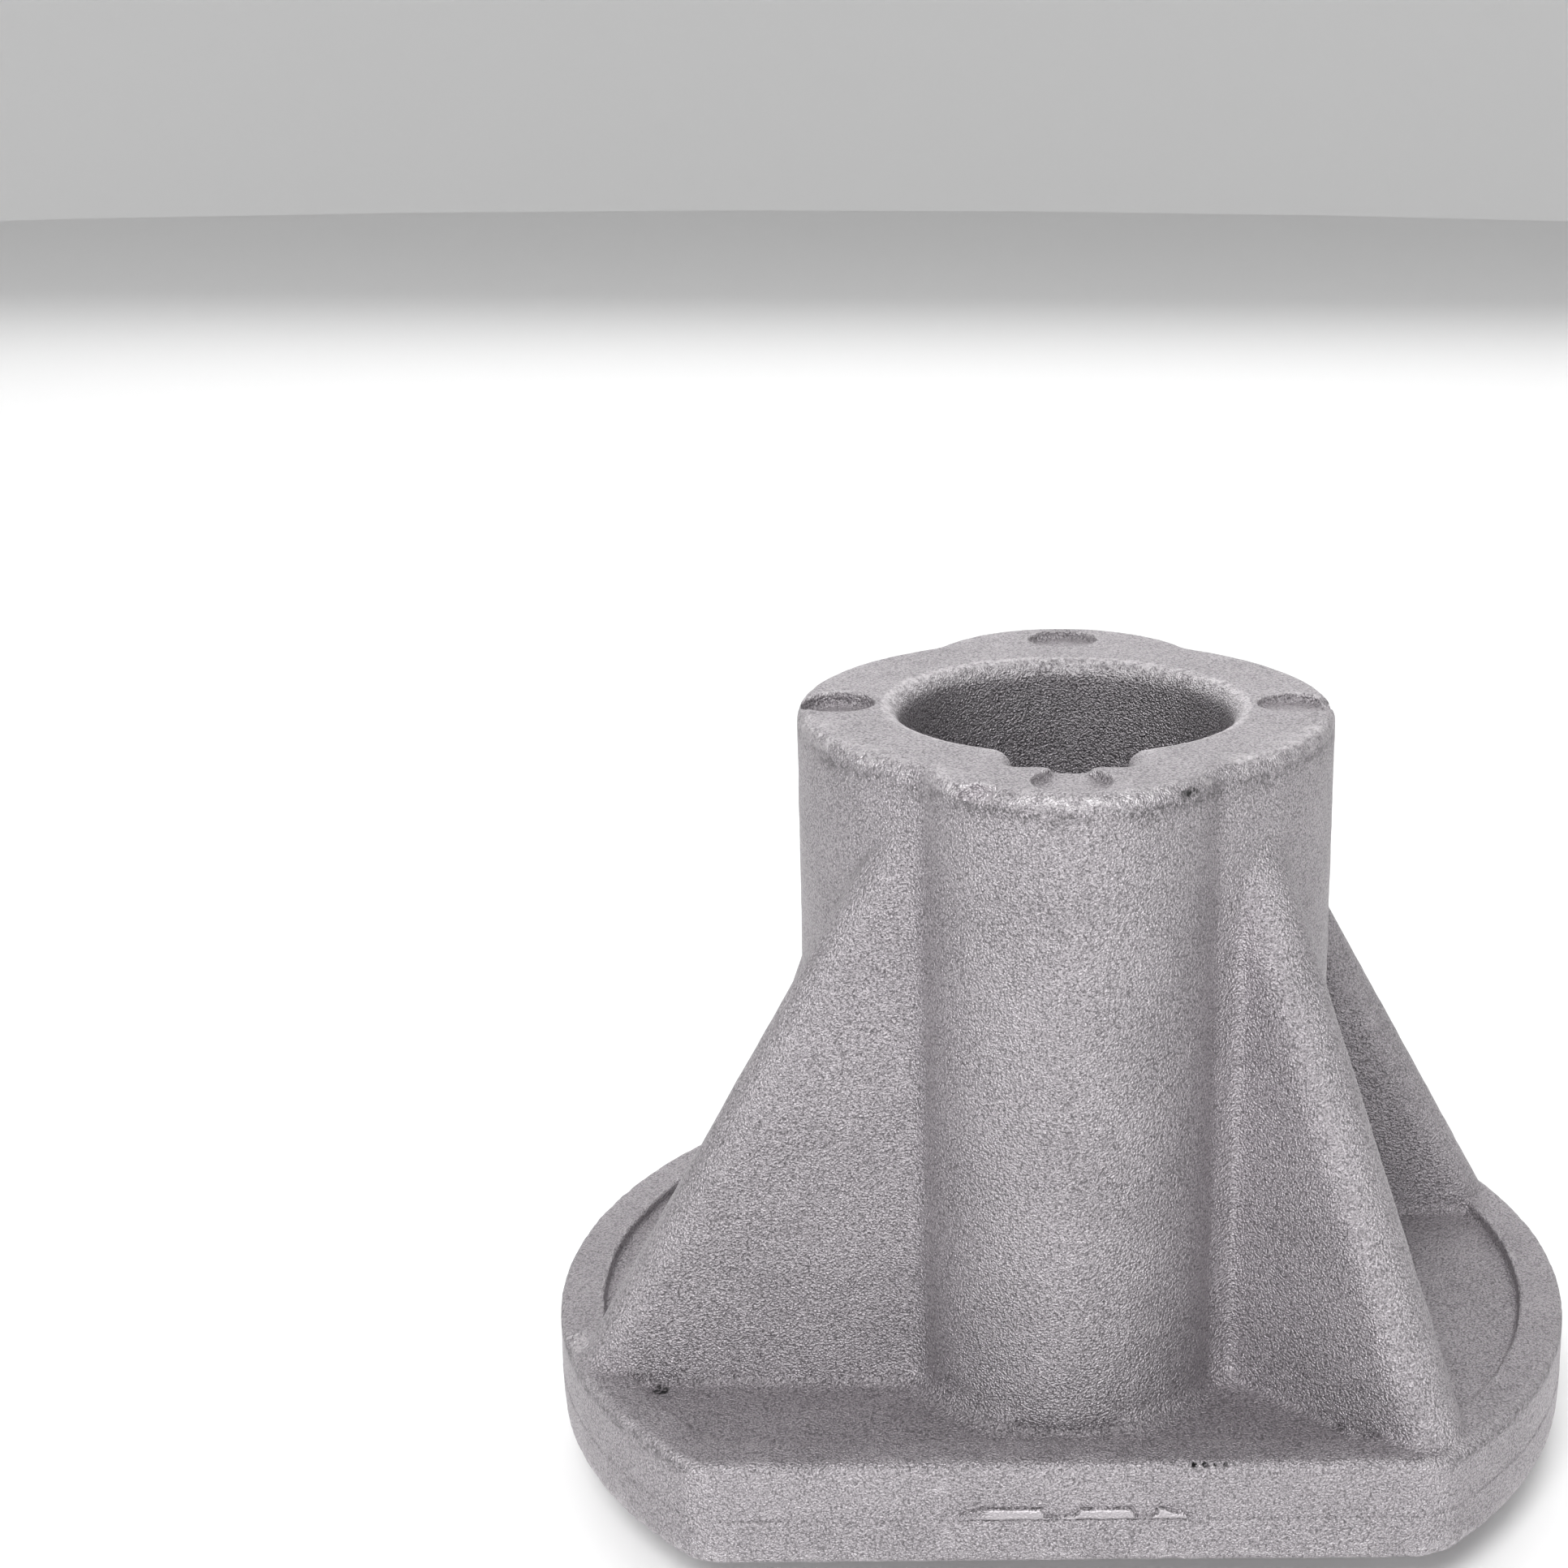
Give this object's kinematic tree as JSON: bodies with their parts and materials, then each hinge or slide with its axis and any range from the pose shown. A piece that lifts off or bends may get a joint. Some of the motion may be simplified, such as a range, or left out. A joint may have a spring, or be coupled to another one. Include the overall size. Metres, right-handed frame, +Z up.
{
  "type": "blade adapter hub",
  "caption": "Cast aluminium blade adapter hub: a keyed blind bore in a ribbed barrel on a flat-sided plate, with a pilot boss and drive pins below that carry and turn a mower blade.",
  "frame": {"origin": "on the crankshaft axis, in the face of the plate that the blade seats on", "axes": "+Z up the barrel to the open end of the bore, +X through the two drive pins, and the keyway on the -Y side"},
  "size_m": [0.08, 0.0605, 0.0592],
  "materials": {
    "cast_aluminium": "as cast, blasted, dull with a fine grain"
  },
  "bodies": {
    "root": {"hub_casting": "cast_aluminium"}
  },
  "joints": []
}
